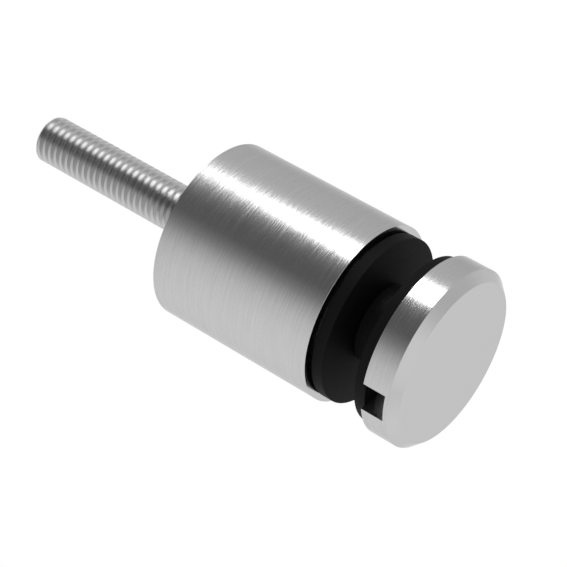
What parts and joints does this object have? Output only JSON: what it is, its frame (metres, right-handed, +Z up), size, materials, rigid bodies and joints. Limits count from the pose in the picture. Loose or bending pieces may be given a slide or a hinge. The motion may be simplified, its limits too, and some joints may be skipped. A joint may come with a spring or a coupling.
{
  "type": "glass point fixing",
  "caption": "Round stainless stand-off with a threaded wall stud, a screw-on clamp head with spanner notches, and rubber gaskets that grip a glass pane.",
  "frame": {"origin": "centre of the spacer body's back face, where it meets the wall, on the common axis", "axes": "+Y along the stud into the wall, -Y out to the clamp head, +Z up, spanner notches to +X and -X"},
  "size_m": [0.03, 0.0825, 0.03],
  "materials": {
    "brushed_stainless": "brushed round the axis",
    "threaded_stainless": "rolled thread, satin",
    "gasket_rubber": "matt black rubber",
    "sleeve_plastic": "matt black plastic"
  },
  "bodies": {
    "fixed_spacer": {"wall_stud": "threaded_stainless", "spacer_body": "brushed_stainless", "rear_gasket": "gasket_rubber"},
    "pressed_parts": {"front_gasket": "gasket_rubber", "glass_sleeve": "sleeve_plastic"},
    "turning_head": {"clamp_disc": "brushed_stainless", "clamp_screw": "threaded_stainless"}
  },
  "joints": [
    {"name": "head_travel", "type": "slide", "parent": "fixed_spacer", "child": "pressed_parts", "axis": [0, -1, 0], "range_m": [0, 0.006]},
    {"name": "head_turn", "type": "hinge", "parent": "pressed_parts", "child": "turning_head", "pos_m": [0, -0.04055, 0], "axis": [0, -1, 0], "range_deg": [0, 1728]}
  ],
  "couplings": [
    {"joint": "head_travel", "follows": "head_turn", "m_per_rad": 0.00019894}
  ]
}
